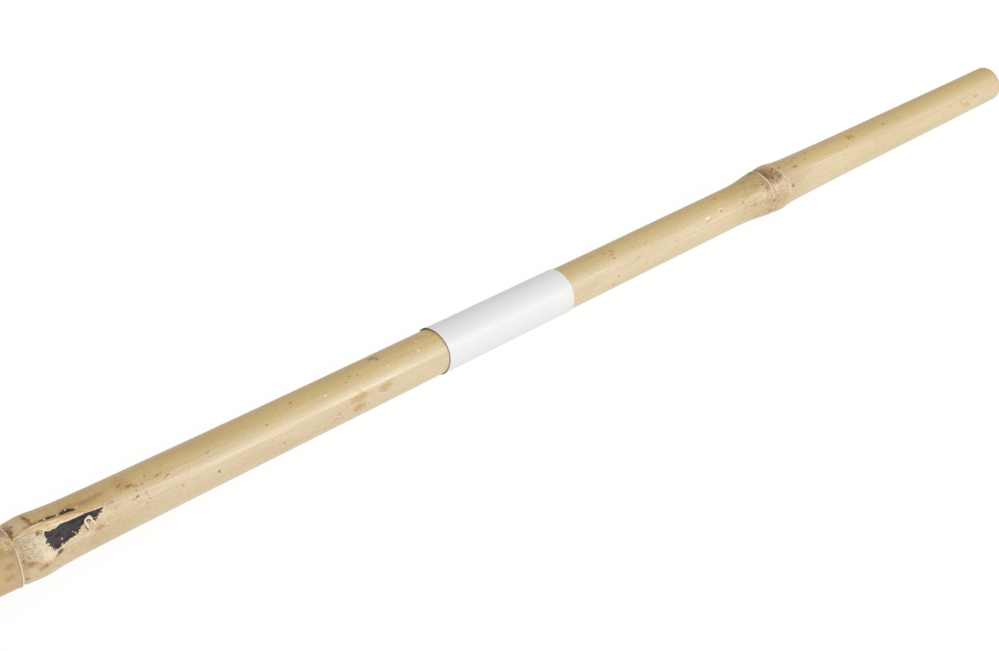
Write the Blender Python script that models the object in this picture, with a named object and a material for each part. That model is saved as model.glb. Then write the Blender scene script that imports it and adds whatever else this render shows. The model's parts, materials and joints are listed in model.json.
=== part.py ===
"""A bamboo cane lying on a flat surface, with a blank paper label wrapped round its middle.

The cane runs along X, from its thicker base end at -X to its thinner tip end at +X, and it rests on
a flat spot worn under each of its two nodes. A node is a ring where the stem has a partition inside:
from the base up it has a flare, the thin lip that the sheath left, a groove, and a round ridge.
Each sawn end is open, and its bore stops at the partition of the nearest node. The origin is in the
middle of the cane's length and width, on the surface that it lies on.

An angle round the stem is in degrees about +X: 0 faces -Y, 90 is the top, 180 faces +Y.
"""

import math

import bmesh
import bpy
from mathutils import Vector

MM = 0.001

# Stem
LENGTH = 750 * MM
BASE_END = -LENGTH / 2
TIP_END = LENGTH / 2
SIDES = 40
END_CHAMFER = 0.6 * MM
FLAT_DEPTH = 0.4 * MM
OVALNESS = 0.008
OVAL_ANGLE = 70

# Nodes, from the base up: the place of the sheath lip, and the ridge above it
NODES = (
    {"x": -237.0 * MM, "rise": 1.10 * MM, "ridge": 9.5 * MM, "low": 7.0 * MM, "high": 7.5 * MM,
     "flare": 11 * MM, "lift": 0.25 * MM, "lean": 0.5 * MM, "lean_angle": 75, "branch": 48},
    {"x": 178.0 * MM, "rise": 1.25 * MM, "ridge": 8.5 * MM, "low": 6.2 * MM, "high": 6.0 * MM,
     "flare": 7 * MM, "lift": 0.35 * MM, "lean": 2.4 * MM, "lean_angle": 221, "branch": 228},
)
LIP_RISE = 0.35 * MM
LIP_WIDTH = 0.45 * MM
GROOVE_DEPTH = 0.35 * MM
GROOVE_WIDTH = 0.6 * MM
GROOVE_AT = 1.5 * MM
LEAN_REACH = 4.5 * MM
LIFT_REACH = 45 * MM

# Internodes, from the base up: (place of the node below, radius far above it, extra radius at it, fade)
HIDDEN_NODE = -664 * MM
INTERNODES = (
    (HIDDEN_NODE, 10.95 * MM, 1.60 * MM, 170 * MM),
    (NODES[0]["x"], 9.87 * MM, 1.60 * MM, 170 * MM),
    (NODES[1]["x"], 9.20 * MM, 1.90 * MM, 140 * MM),
)

# Branch scar: above each node a cut-off branch leaves a low boss, and a shallow furrow up the stem
BOSS_RISE = 0.6 * MM
BOSS_AT = 12 * MM
BOSS_LENGTH = 8 * MM
BOSS_ANGLE = 14
FURROW_DEPTH = 0.30 * MM
FURROW_FADE = 190 * MM
FURROW_START = 16 * MM
FURROW_ANGLE = 10

# Torn patch in the skin beside the base node's branch scar
PATCH_DEPTH = 0.55 * MM
PATCH_AT = 22 * MM
PATCH_LENGTH = 6 * MM
PATCH_ANGLE = 38
PATCH_SPREAD = 11

# Bores in the sawn ends
BASE_BORE_RADIUS = 5.6 * MM
TIP_BORE_RADIUS = 4.9 * MM
BASE_BORE_STOP = NODES[0]["x"] + 1 * MM
TIP_BORE_STOP = NODES[1]["x"] + 8 * MM
BORE_END_ROUND = 2.5 * MM
BORE_SIDES = 28
CUTTER_REACH = 5 * MM

# Paper label
LABEL_START = -34 * MM
LABEL_END = 40.5 * MM
LABEL_GAP = 0.3 * MM
LABEL_THICKNESS = 0.3 * MM
LABEL_RINGS = 5
LABEL_SIDES = 36
SEAM_START = 198
SEAM_END = 228
SEAM_RAMP = 6
SEAM_SIDES = 3

# Rings along the stem: (distance from a lip, step between rings), below the lip and above it
STEPS_BELOW = ((1.8 * MM, 0.6 * MM), (9.8 * MM, 2 * MM), (24 * MM, 4.7 * MM))
STEPS_ABOVE = ((2.4 * MM, 0.6 * MM), (16.4 * MM, 2 * MM), (38 * MM, 4.3 * MM))
PLAIN_STEP = 30 * MM


def bell(offset, width):
    """1 at offset 0, falling smoothly to nothing a few widths away."""
    return math.exp(-0.5 * (offset / width) ** 2)


def hump(offset, width):
    """1 at offset 0 and 1/2 at the width, with longer skirts than the bell."""
    return 1 / (1 + (offset / width) ** 2)


def turn(angle, towards):
    """The signed angle from one direction to another, from -180 to 180 degrees."""
    return (angle - towards + 180) % 360 - 180


def around(angle):
    """The unit vector across the stem at this angle."""
    radians = math.radians(angle)
    return Vector((0, -math.cos(radians), math.sin(radians)))


def internode_radius(place, index):
    below, far_radius, extra, fade = INTERNODES[index]
    return far_radius + extra * math.exp(-(place - below) / fade)


def stem_radius(place):
    """Radius of the stem with its flares and ridges, and without any mark that sits on one side."""
    index = sum(place >= node["x"] for node in NODES)
    radius = internode_radius(place, index)
    for number, node in enumerate(NODES):
        above = place - node["x"]
        if above >= 0:
            width = node["low"] if above < node["ridge"] else node["high"]
            radius += node["rise"] * hump(above - node["ridge"], width)
        elif number == index:
            at_lip = internode_radius(node["x"], index + 1)
            at_lip += node["rise"] * hump(node["ridge"], node["low"])
            step = at_lip - internode_radius(node["x"], index)
            radius += step * bell(above, node["flare"])
        radius += LIP_RISE * bell(above, LIP_WIDTH)
        radius -= GROOVE_DEPTH * bell(above - GROOVE_AT, GROOVE_WIDTH)
    return radius


def furrow(place, angle):
    """Depth of the furrow that runs up an internode from the branch scar at its foot."""
    lips = [HIDDEN_NODE] + [node["x"] for node in NODES]
    branches = [NODES[1]["branch"]] + [node["branch"] for node in NODES]
    index = sum(place >= lip for lip in lips) - 1
    above = place - lips[index] - FURROW_START
    if above <= 0:
        return 0
    side = bell(turn(angle, branches[index]), FURROW_ANGLE)
    begun = 1 - bell(above, FURROW_START)
    return FURROW_DEPTH * side * begun * math.exp(-above / FURROW_FADE)


def side_marks(place, angle):
    """What the branch scars and the torn patch add to the radius at one angle."""
    added = -furrow(place, angle)
    for node in NODES:
        above = place - node["x"] - BOSS_AT
        added += BOSS_RISE * bell(above, BOSS_LENGTH) * bell(turn(angle, node["branch"]), BOSS_ANGLE)
    above = place - NODES[0]["x"] - PATCH_AT
    added -= PATCH_DEPTH * bell(above, PATCH_LENGTH) * bell(turn(angle, PATCH_ANGLE), PATCH_SPREAD)
    return added


def centre(place):
    """The stem's middle: a straight line, lifted a little at each node, that sets both ridges down."""
    ridges = [node["x"] + node["ridge"] for node in NODES]
    heights = [
        stem_radius(ridge) - FLAT_DEPTH - node["lift"] for node, ridge in zip(NODES, ridges)
    ]
    along = (place - ridges[0]) / (ridges[1] - ridges[0])
    height = heights[0] + along * (heights[1] - heights[0])
    for node, ridge in zip(NODES, ridges):
        height += node["lift"] * math.exp(-abs(place - ridge) / LIFT_REACH)
    return Vector((place, 0, height))


def lip_shift(place, angle):
    """How far the rings near a sheath lip lean along the stem at this angle, as the lip does."""
    shift = 0
    for node in NODES:
        lean = node["lean"] * math.cos(math.radians(angle - node["lean_angle"]))
        shift += lean * bell(place - node["x"], LEAN_REACH)
    return shift


def skin_point(place, angle, inset=0):
    """A point on the stem's outside."""
    oval = 1 + OVALNESS * math.cos(math.radians(2 * (angle - OVAL_ANGLE)))
    radius = stem_radius(place) * oval + side_marks(place, angle) - inset
    shifted = centre(place) + Vector((lip_shift(place, angle), 0, 0))
    return shifted + around(angle) * radius


def steps_from(lip, steps, direction):
    """Places of rings on one side of a lip, each stretch with its own step."""
    places = []
    distance = 0
    for limit, step in steps:
        while distance < limit:
            distance += step
            places.append(lip + direction * distance)
    return places


def ring_places():
    """Places of the rings along the stem: close together at the nodes, wide apart between them."""
    places = []
    for node in NODES:
        places += [node["x"]]
        places += steps_from(node["x"], STEPS_BELOW, -1)
        places += steps_from(node["x"], STEPS_ABOVE, 1)
    places += [BASE_END + END_CHAMFER, TIP_END - END_CHAMFER]
    places.sort()
    filled = [places[0]]
    for place in places[1:]:
        gap = place - filled[-1]
        count = max(1, round(gap / PLAIN_STEP))
        start = filled[-1]
        filled += [start + gap * part / count for part in range(1, count)]
        filled.append(place)
    return filled


def loft(bm, rings, closed_ends):
    """Joins rings of points, each with the same count, by quads facing away from the axis."""
    made = [[bm.verts.new(point) for point in ring] for ring in rings]
    count = len(made[0])
    for ring, following in zip(made, made[1:]):
        for side in range(count):
            after = (side + 1) % count
            bm.faces.new((ring[side], following[side], following[after], ring[after]))
    if closed_ends:
        bm.faces.new(made[0])
        bm.faces.new(made[-1][::-1])
    return made


def rest_on_floor(bm):
    """Cuts the stem off level at the surface that it lies on, and closes each cut with a flat face."""
    geometry = bm.verts[:] + bm.edges[:] + bm.faces[:]
    bmesh.ops.bisect_plane(
        bm, geom=geometry, dist=MM / 1000, plane_co=(0, 0, 0), plane_no=(0, 0, -1), clear_outer=True
    )
    rims = [edge for edge in bm.edges if edge.is_boundary]
    bmesh.ops.holes_fill(bm, edges=rims, sides=0)


def new_object(name, bm, material, smooth_degrees=35):
    """An object from a finished bmesh, shaded smooth except over its sharper edges."""
    bmesh.ops.recalc_face_normals(bm, faces=bm.faces)
    mesh = bpy.data.meshes.new(name)
    bm.to_mesh(mesh)
    bm.free()
    mesh.shade_smooth()
    mesh.set_sharp_from_angle(angle=math.radians(smooth_degrees))
    mesh.materials.append(material)
    created = bpy.data.objects.new(name, mesh)
    bpy.context.scene.collection.objects.link(created)
    return created


def new_material(name, colour, roughness):
    material = bpy.data.materials.new(name)
    material.use_nodes = True
    shader = material.node_tree.nodes["Principled BSDF"]
    shader.inputs["Base Color"].default_value = (*colour, 1)
    shader.inputs["Roughness"].default_value = roughness
    shader.inputs["Metallic"].default_value = 0
    return material


def make_bore_cutter(name, mouth, stop, radius):
    """A plug that cuts one end's bore: it starts outside the end and has a rounded inner end."""
    outward = 1 if mouth > stop else -1
    profile = [(mouth + outward * CUTTER_REACH, radius), (stop + outward * BORE_END_ROUND, radius)]
    for degrees in (30, 60, 85):
        lean = math.radians(degrees)
        place = stop + outward * BORE_END_ROUND * (1 - math.sin(lean))
        profile.append((place, radius - BORE_END_ROUND * (1 - math.cos(lean))))
    profile.sort()
    rings = []
    for place, ring_radius in profile:
        middle = centre(place)
        rings.append([middle + around(360 * side / BORE_SIDES) * ring_radius for side in range(BORE_SIDES)])
    bm = bmesh.new()
    loft(bm, rings, closed_ends=True)
    cutter = new_object(name, bm, bpy.data.materials["bamboo"])
    cutter.hide_render = True
    cutter.display_type = "WIRE"
    return cutter


def make_cane():
    angles = [360 * side / SIDES for side in range(SIDES)]
    places = ring_places()
    rings = [[skin_point(BASE_END, angle, END_CHAMFER) for angle in angles]]
    rings += [[skin_point(place, angle) for angle in angles] for place in places]
    rings += [[skin_point(TIP_END, angle, END_CHAMFER) for angle in angles]]
    bm = bmesh.new()
    loft(bm, rings, closed_ends=True)
    rest_on_floor(bm)
    cane = new_object("cane", bm, new_material("bamboo", (0.70, 0.56, 0.33), 0.38))
    for name, mouth, stop, radius in (
        ("base_bore", BASE_END, BASE_BORE_STOP, BASE_BORE_RADIUS),
        ("tip_bore", TIP_END, TIP_BORE_STOP, TIP_BORE_RADIUS),
    ):
        cut = cane.modifiers.new(name, "BOOLEAN")
        cut.operation = "DIFFERENCE"
        cut.solver = "EXACT"
        cut.object = make_bore_cutter(name + "_cutter", mouth, stop, radius)
    return cane


def label_outline():
    """(angle, paper layers) round the label's outside: a ramp up to the seam, and a step at its end."""
    ramp_foot = SEAM_START + 360 - SEAM_RAMP
    outline = [(SEAM_END + (ramp_foot - SEAM_END) * part / LABEL_SIDES, 1) for part in range(LABEL_SIDES + 1)]
    seam = SEAM_END - SEAM_START
    outline += [(SEAM_START + 360 + seam * part / SEAM_SIDES, 2) for part in range(SEAM_SIDES + 1)]
    return outline


def label_section(place):
    """The label's section as one closed line: out round the paper, over the seam, and back inside it."""
    inside = stem_radius(place) * (1 + OVALNESS) + LABEL_GAP
    middle = centre(place)
    outline = label_outline()
    outer = [middle + around(angle) * (inside + layers * LABEL_THICKNESS) for angle, layers in outline]
    inner = [middle + around(angle) * inside for angle, _ in outline[:-1]]
    return outer, inner


def make_label():
    """A sleeve whose outer line has one point more than its inner line, for the step of the seam."""
    bm = bmesh.new()
    sections = []
    for ring in range(LABEL_RINGS):
        place = LABEL_START + (LABEL_END - LABEL_START) * ring / (LABEL_RINGS - 1)
        outer, inner = label_section(place)
        outer = [bm.verts.new(point) for point in outer]
        inner = [bm.verts.new(point) for point in inner]
        sections.append((outer, inner + [inner[0]]))
    for (outer, inner), (next_outer, next_inner) in zip(sections, sections[1:]):
        for side in range(len(outer) - 1):
            bm.faces.new((outer[side], next_outer[side], next_outer[side + 1], outer[side + 1]))
            bm.faces.new((inner[side], inner[side + 1], next_inner[side + 1], next_inner[side]))
        bm.faces.new((outer[-1], next_outer[-1], next_outer[0], outer[0]))
    for outer, inner in (sections[0], sections[-1]):
        for side in range(len(outer) - 1):
            bm.faces.new((outer[side], outer[side + 1], inner[side + 1], inner[side]))
        bm.faces.new((outer[-1], outer[0], inner[0]))
    return new_object("label", bm, new_material("paper", (0.88, 0.89, 0.90), 0.45))


def main():
    for old in list(bpy.data.objects):
        bpy.data.objects.remove(old)
    make_cane()
    make_label()


main()
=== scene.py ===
"""The dressed cane: natural bamboo with a blank paper label, lying on a pale studio floor.

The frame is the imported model's: X along the cane, Z up from the surface that it lies on, in metres.
An angle round the stem is in degrees about +X: 0 faces -Y, 90 is the top, 180 faces +Y. A place is a
distance along the stem, and an arc is a distance round it, both before a leaning node shifts them.
"""

import json
import math
import random

import bpy
import numpy as np
from mathutils import Matrix, Vector, noise

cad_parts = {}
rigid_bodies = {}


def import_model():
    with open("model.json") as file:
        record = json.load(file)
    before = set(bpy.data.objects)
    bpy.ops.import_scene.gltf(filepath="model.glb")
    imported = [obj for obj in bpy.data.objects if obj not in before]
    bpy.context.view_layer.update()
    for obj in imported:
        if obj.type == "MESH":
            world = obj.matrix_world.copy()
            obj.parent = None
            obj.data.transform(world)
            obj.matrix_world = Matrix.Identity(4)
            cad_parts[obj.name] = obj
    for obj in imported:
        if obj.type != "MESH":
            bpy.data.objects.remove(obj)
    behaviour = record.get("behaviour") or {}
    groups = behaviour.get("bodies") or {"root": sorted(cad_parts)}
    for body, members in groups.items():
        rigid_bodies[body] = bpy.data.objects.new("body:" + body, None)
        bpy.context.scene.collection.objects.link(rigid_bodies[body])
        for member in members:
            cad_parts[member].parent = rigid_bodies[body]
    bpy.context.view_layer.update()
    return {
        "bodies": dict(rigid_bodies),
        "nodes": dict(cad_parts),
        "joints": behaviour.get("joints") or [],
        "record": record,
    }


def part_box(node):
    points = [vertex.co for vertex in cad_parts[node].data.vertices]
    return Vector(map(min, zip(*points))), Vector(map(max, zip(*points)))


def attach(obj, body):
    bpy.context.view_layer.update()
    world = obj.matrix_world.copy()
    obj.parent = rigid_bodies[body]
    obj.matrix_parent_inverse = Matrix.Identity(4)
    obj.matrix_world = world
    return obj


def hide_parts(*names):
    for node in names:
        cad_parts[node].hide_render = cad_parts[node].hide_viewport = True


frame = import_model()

CANE_LOW, CANE_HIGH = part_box("cane")
LABEL_LOW, LABEL_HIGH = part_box("label")
BODY = "root"
MM = 0.001


def rows(text):
    """A table's rows, which commas part: numbers, after the kind that they and the rows below are of."""
    table = []
    kind = []
    for row in text.split(","):
        words = row.split()
        if words[0].isalpha():
            kind = [words.pop(0)]
        table.append((*kind, *map(float, words)))
    return tuple(table)


# The stem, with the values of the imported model
BASE_END = CANE_LOW.x
TIP_END = CANE_HIGH.x
END_CHAMFER = 0.6 * MM
FLAT_DEPTH = 0.4 * MM
OVALNESS = 0.008
OVAL_ANGLE = 70
NODES = (
    {"x": -237.0 * MM, "rise": 1.10 * MM, "ridge": 9.5 * MM, "low": 7.0 * MM, "high": 7.5 * MM,
     "flare": 11 * MM, "lift": 0.25 * MM, "lean": 0.5 * MM, "lean_angle": 75, "branch": 48},
    {"x": 178.0 * MM, "rise": 1.25 * MM, "ridge": 8.5 * MM, "low": 6.2 * MM, "high": 6.0 * MM,
     "flare": 7 * MM, "lift": 0.35 * MM, "lean": 2.4 * MM, "lean_angle": 221, "branch": 228},
)
LIP_RISE = 0.35 * MM
GROOVE_DEPTH = 0.35 * MM
GROOVE_WIDTH = 0.6 * MM
GROOVE_AT = 1.5 * MM
LEAN_REACH = 4.5 * MM
LIFT_REACH = 45 * MM
HIDDEN_NODE = -664 * MM
INTERNODES = (
    (HIDDEN_NODE, 10.95 * MM, 1.60 * MM, 170 * MM),
    (NODES[0]["x"], 9.87 * MM, 1.60 * MM, 170 * MM),
    (NODES[1]["x"], 9.20 * MM, 1.90 * MM, 140 * MM),
)
BOSS_RISE = 0.6 * MM
BOSS_AT = 12 * MM
BOSS_LENGTH = 8 * MM
BOSS_ANGLE = 14
FURROW_DEPTH = 0.30 * MM
FURROW_FADE = 190 * MM
FURROW_START = 16 * MM
FURROW_ANGLE = 10
PATCH_DEPTH = 0.55 * MM
PATCH_AT = 22 * MM
PATCH_LENGTH = 6 * MM
PATCH_ANGLE = 38
PATCH_SPREAD = 11
BASE_BORE_RADIUS = 5.6 * MM
TIP_BORE_RADIUS = 4.9 * MM
BASE_BORE_STOP = NODES[0]["x"] + 1 * MM
TIP_BORE_STOP = NODES[1]["x"] + 8 * MM
BORE_END_ROUND = 2.5 * MM
SEAM_START = 198
SEAM_END = 228

# Rings and sides of the dressed stem; the seam of its flat map is underneath
SIDES = 240
SEAM_ANGLE = -90
MAP_SPAN = CANE_HIGH.x - CANE_LOW.x
MAP_RADIUS = 10.5 * MM
TORN_STRETCH = (-239.0 * MM, -199.0 * MM, 0.31 * MM)
LIP_STRETCH = (1.6 * MM, 0.16 * MM)
NODE_STRETCH = (16 * MM, 1.0 * MM)
MARKED_STRETCHES = ((-197, -165), (-98, -62), (60, 74), (126, 152), (192, 214), (232, 256), (336, 352))
MARKED_STEP = 2.2 * MM
PLAIN_STEP = 8 * MM
LEAST_STEP = 1.5 * MM
# The skin's slow waves, which fade out at the two ends
WAVES_ALONG = 22
WAVE_HEIGHT = 0.07 * MM
WAVE_FADE = 9 * MM

# What the imported stem leaves out: each thin lip's own course, as (angle, spread, shift), where it is rubbed
# away, as (angle, spread), and the tip's rim, which is cut back on its upper side
LIP_COURSES = (((12, 26, -0.55 * MM),), ((35, 34, 1.15 * MM), (-60, 30, 0.5 * MM)))
LIP_BREAKS = ((58, 10), (-7, 24))
LIP_WORN = 0.85
LIP_UNEVEN = ((9, 0.09, 0.45), (5, 0.35, 0.25))
LIP_LEVEL = 0.92
THIN_LIP = 0.30 * MM
CUT_BACK = 1.0 * MM
CUT_ANGLE = 75
CUT_SPREAD = 60
CUT_REACH = 6 * MM

# The torn place at the base node: where it lies, its outlines as X in mm and angle, its fields away from it
# (a distance inwards in mm for the first two, a share for the others), and its relief
TORN_PLACES = (-241 * MM, -197 * MM)
TORN_ANGLES = (-12, 112)
BARE_OUTLINE = rows("""
-225.2 48.5, -224.6 52.4, -222.8 50.6, -220.4 50.5, -218.4 53.5, -215.8 53.1, -212.9 53, -210.3 53, -207.9 53,
-205.4 51.3, -203.6 49.9, -200.3 48.7, -202.5 42.3, -203.9 36.8, -205.3 33, -206.6 35, -208.4 36.5, -209.9 35.3,
-211.7 30.4, -213.9 22, -216.5 21.9, -218.2 20.3, -219.9 18.2, -220.5 15.1, -222.5 14.6, -223.8 18, -224.8 24.6,
-224.8 28.9, -225.6 35.8, -225.4 42
""")
SLIVER_OUTLINE = rows("""
-235.9 66.6, -232 72, -226.6 73.6, -220.5 69.5, -215.5 67, -208.5 58.5, -206.3 53.5, -208 54, -211.5 54.6,
-215.5 54.6, -218.7 54.8, -221.8 53.2, -224.6 54, -226.2 58.8, -230 60.5, -235.5 63.1
""")
CRACK_OUTLINE = rows("""
-228 75.2, -224.6 75.6, -222.2 76.8, -219.8 77.6, -218 75, -216.6 73, -215.4 76.4, -213.6 78.2, -212 76, -211 73,
-210.2 68.6, -211 67.4, -212.2 68.6, -214.6 69.6, -216.2 71.2, -218 71.8, -221 72.8, -224.5 74, -228 74.6
""")
TORN_OUTLINE = rows("""
-236.4 34, -236.2 48, -233.4 56, -229.8 54, -226.6 49, -225.2 42, -225 28, -223.2 13, -222.6 7.5, -225.6 3,
-229.6 7, -232.8 17, -235.4 24
""")
FIELD_LIMIT = 3.0
TORN_BLANKS = {"bare": -FIELD_LIMIT, "crack": -FIELD_LIMIT, "sliver": 0.0, "torn": 0.0}
BARE_DEPTH = 0.32 * MM
CRACK_DEPTH = 0.45 * MM
SLIVER_RISE = 0.30 * MM
TORN_ROUGH = 0.16 * MM

# Soft areas: kind, X in mm, angle, half length in mm, half width in mm, strength. The bleach clouds at X 186.5 to
# 188.6 are a painted highlight along the edge of the tip node's ridge; the others are pale patches.
CLOUDS = rows("""
grime 179.4 84 1.8 3.4 .85, 182.6 72 2.4 3 .75, 184.6 67 1.2 2.4 .75, 178.9 71 1.2 2.6 1.3, 180.2 104 2.2 2.4 .3,
180.8 50 2.2 1.6 .5, 178.2 108 1.8 3.2 1.1, 180.4 63 1.4 2.2 .9, 174.6 43 1.6 1.2 .75, 176.4 51 1 1.8 .4,
186.3 58 .5 1.5 .7, tawny 179.4 2 2 3.2 .55, 177.4 -26 3.2 1.8 .75, grime 185.2 -4 2.2 1.4 .3, 189.6 80 2.2 1 .3,
bleach 184.2 37 2.4 1.8 .25, 180.6 40 1.6 1.4 .35, 187.5 62 .7 4.2 .55, 188.6 20 1.2 3.4 .45, 187 96 1.2 2.2 .4,
171 27 5 1.4 .3, 164 39.5 8 .5 .6, tawny 246.2 76 2.6 2 .6, grime -235.6 85 1 2.2 .8, -227.7 97 .8 3 .7,
tawny -234 17 2.6 2.4 .7, -231 7 2.2 1.2 .6, grime -235.4 30 .8 2.6 .45, tawny -228.4 -5 2.2 1.2 .55,
grime -238.6 43 1.2 1.4 .4, tawny -240.6 22 2.2 1.4 .5, -205 71 7 2 .6, -199 60 4 1.5 .35, -190 77 3.4 3.2 .75,
grime -206 73 3.2 1.2 .3, bleach -212 13.5 7 1.1 .5, -201 37 3.6 1.4 .45, -231.5 60 3 1.6 .8, -231 46 2.4 1.8 .7,
-231.3 88 2.4 4 .4, tawny -243 50 4 3 .35, -180 58 9 1.6 .25, grime 180 188 2.4 5 .6, 184 206 2.6 2.4 .5,
176 240 2 3 .4, bleach 186.5 170 1 4 .5, grime -234.6 172 1.8 4.4 .6, -229 214 3 2.4 .45,
bleach -226.5 190 1.6 3.4 .4, grime -240 250 2.4 2 .4, rusty -188 64 3.8 1.6 1, -176.5 60 3.4 .9 .8,
-190.5 82 3 2.4 .5, -173.5 52 2.4 1 .7, -184.5 36 4.6 1.6 .6, -198 39 3.6 1 .5, 68.5 76 3.4 3.2 .35, 197 84 4 3 .35,
131.5 38 3 1.4 .35, 340.6 7 2.6 1.8 .4, grime 176.4 118 3 3.6 .8
""")

# Marks: kind, X in mm, angle, length in mm, width in mm, and the tilt in degrees where it has one. Of the
# marks of a layer that reach the same face, the nearest shows, and the first where they are as near.
# The dark mark at -207.9, 35, inside the arch of the curled skin flake, is painted shade under the flake.
MARKS = rows("""
dot -235.7 100.6 1 .9, -235.3 89.6 1.6 .9 20, -235.2 79.7 1.9 1.3 30, -235.7 71.5 1.3 1.2 30, -233.4 92.1 .8 .5,
brown -234.4 94 2 1.5, dot -227.6 93.8 .9 1.3, -227.8 98.5 .6 1.4 10, -227.2 85.5 .6 1.5 -10, -227.2 77 .8 1.2,
brown -227.6 88 1.6 4, -229.4 75.6 2 .5 6, dot -228.4 71.5 2.4 .4 10, bud -238.6 65.5 3 3.4 10,
orange -237.9 62.4 1.1 .9, -238.3 67 .9 .7, dot -227.2 54.9 1.4 .8 20, pale -228.9 54.2 1.3 .9 10,
brown -226.3 51.5 1.2 .6 40, rust -233.6 11.8 1.5 1 10, -231.6 18.8 1.1 .7, -228 -4.3 .8 1.2 10,
brown -233.2 12 3.4 1.9 10, -229.4 -6 3 1.4 12, dot -235.8 -20 1.6 .8 20, -235.6 21 .5 .9, brown -241.5 4 3.6 1.8,
-241 26 3 1.4, dark -222.1 7.4 3.2 1 24, -208.9 27.6 1.1 .55 30, -201 49.6 1.5 .5 25, -207.9 35 1.1 .36 90,
brown -206.6 74.3 3.6 1.3 4, -201 76 5 1.6 4, amber -211.5 79 5.5 1.6 4, brown -204.2 12.9 2.4 .7 12,
amber -205 16 3.2 .9 8, brown -197.5 50 2.4 .6, fleck -219.4 29.4 .7 .6 20, -213.9 27.4 .7 .7, -214.6 31.3 .4 .4,
-220.3 18.5 1.3 .4 30, -221.9 75.6 .8 .4 20, -217 73 .9 .6 10, -213.4 76.6 .6 .5, -209.2 70 .6 .5,
-225.6 38.4 .8 .4 30, -203.4 52.4 1.5 .4 20, -201.2 51 1.3 .35 20, dark -209.5 27 2 .4 -72, rust -189.5 98.7 .9 .5,
-191 74 1.4 .5 20, -188 64.5 2.2 .85, -185.2 58 .8 .5, -183 56.6 .6 .4, -186.2 51.3 .7 .4, -180.5 69.7 .7 .4,
-175.8 60 2.5 .35 8, -172.2 51.3 .8 .5, brown -173.5 48.7 1.4 .25, umber -186.8 38 1.1 .65 10,
brown -188.5 35.5 1.4 .6, -196.2 36.6 1.2 .5, -182.7 33 1.2 .5 -60, -182.5 25 1 .4 -60, amber -184 18 .8 .5,
-182 16 .7 .4, -168.2 17 .9 .7, -153.5 57.6 1.4 .8, umber -152 9 .9 .8, amber -125.8 55 1.3 .6,
rust -111.5 78.7 1 .8, amber -121 1.3 1.3 .7, fawn -82.5 20.3 6.4 2.2 4, -81.2 34 1.1 .9, tan -83.2 -3.2 4.2 2.9 10,
fawn -68.7 15.8 5 2.6 8, olive -93.7 5.3 1.4 .5 10, -95.5 -4 1.2 .5, -94 -9 1.2 .4, -92.2 -12 .9 .4, -97.5 -9 .9 .4,
mauve -67.2 96.5 3.3 1.7 8, -66.2 88 1.4 1.3, pale -39.4 97 2.2 .32 -20, -44.7 83 2 .32 -70, -47.4 58.7 .8 .7,
-64.4 57.4 .9 .5, -96.6 57.9 .7 .6, umber -82 75.8 .7 .4, -78.5 69.7 .6 .4, -85.2 64 .6 .4, orange -36.2 80 .8 .5,
fawn 50.2 100 .8 .4, olive 59.3 88.2 2.2 .7, amber 53.2 52.5 .9 .3 20, brown 53.4 43 .6 .35, olive 69.1 54 1.5 .8,
66.2 81 1.8 .6 30, 70.8 76 2.2 .9 -20, 69 66 2.4 .5 10, amber 62.9 34 1 .35 40, umber 68.4 5.3 1 .8,
amber 82.6 29 2.2 .35 12, 89.8 54.5 1.2 .5 15, 91.4 59 1.2 .25 30, olive 87 1.8 .7 .6, 65.8 -17 1.2 1.2,
81.7 60 .8 .4, umber 144 86 1.5 .55, brown 142.8 86 1.4 .6, olive 144.8 98 1.2 .6, brown 149.5 75.5 1.9 .5,
umber 141.5 42.5 1 .7, pale 141 49.5 1.8 .5, umber 156.6 37.5 1 .6, 131.4 31.6 3.3 .22 15, 129.3 28.8 .8 .5,
pale 131.6 40.5 2.2 1.1 8, brown 129.5 55 1.6 .25, 165.5 93 2.8 1.2, 169.5 64.5 1 .7, dot 171.2 40.5 .6 .5,
172.6 56 .7 .6, brown 174.2 62 1.4 1.6, dot 176.9 6.6 1.3 1.1 10, 175.8 -23 2.2 1, 178.3 78 1.4 2.4,
brown 180.4 70 2.6 4.2, dot 180.9 62 .7 1.4 20, 179.8 92 1.2 1, brown 181.4 92 2 2.6, dot 184.9 55 1.6 .6 30,
185 82 .9 .9, umber 188.8 76 1.3 .9, brown 183.9 52 3.4 2, umber 191.5 20.3 2.2 1 4, olive 204.5 92 2.6 .9,
umber 199.5 62.6 2.1 1, 200.6 84 1.6 .4, 213.2 91 1.5 .6, olive 208.7 71 1.2 .9, umber 232.5 52 2.5 .22 -8,
234 50.3 1 .3 -8, rust 244.8 77 1 2.4, 247.7 74 .7 1.7, 246.2 78 1.4 .65, umber 253.5 66.6 1.1 .3,
255.5 61.8 1.1 .3, 272.5 67 2.1 .7, amber 285.6 65.3 1.4 .7, olive 239.2 52 .8 .4, 234.9 35.5 .8 .4, 261.5 38 .8 .4,
261.5 9 .8 .4, 266.7 1.3 .8 .4, fawn 236.2 -14.5 1.4 1.7, olive 327.5 25.5 2 .4, amber 332.5 100 1.2 .8,
olive 337.2 21 1.4 .85, pale 339.2 19.7 .8 .6, fawn 340.6 7 2.6 1.9 10, 344 2 2.2 1.7, olive 350.5 19.7 2.5 .7 8,
amber 357.5 96 1 .7, 369 92 2.1 1.4, dot 354 200 1.4 .9, rust 300 170 1.8 .8, brown -60 160 8 2.2 5,
rust -140 205 1.8 1, tan 110 240 5 2.4, dot -300 130 1.5 .8, tan -330 60 5 1.8, rust -290 20 1.6 .9
""")
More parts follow.
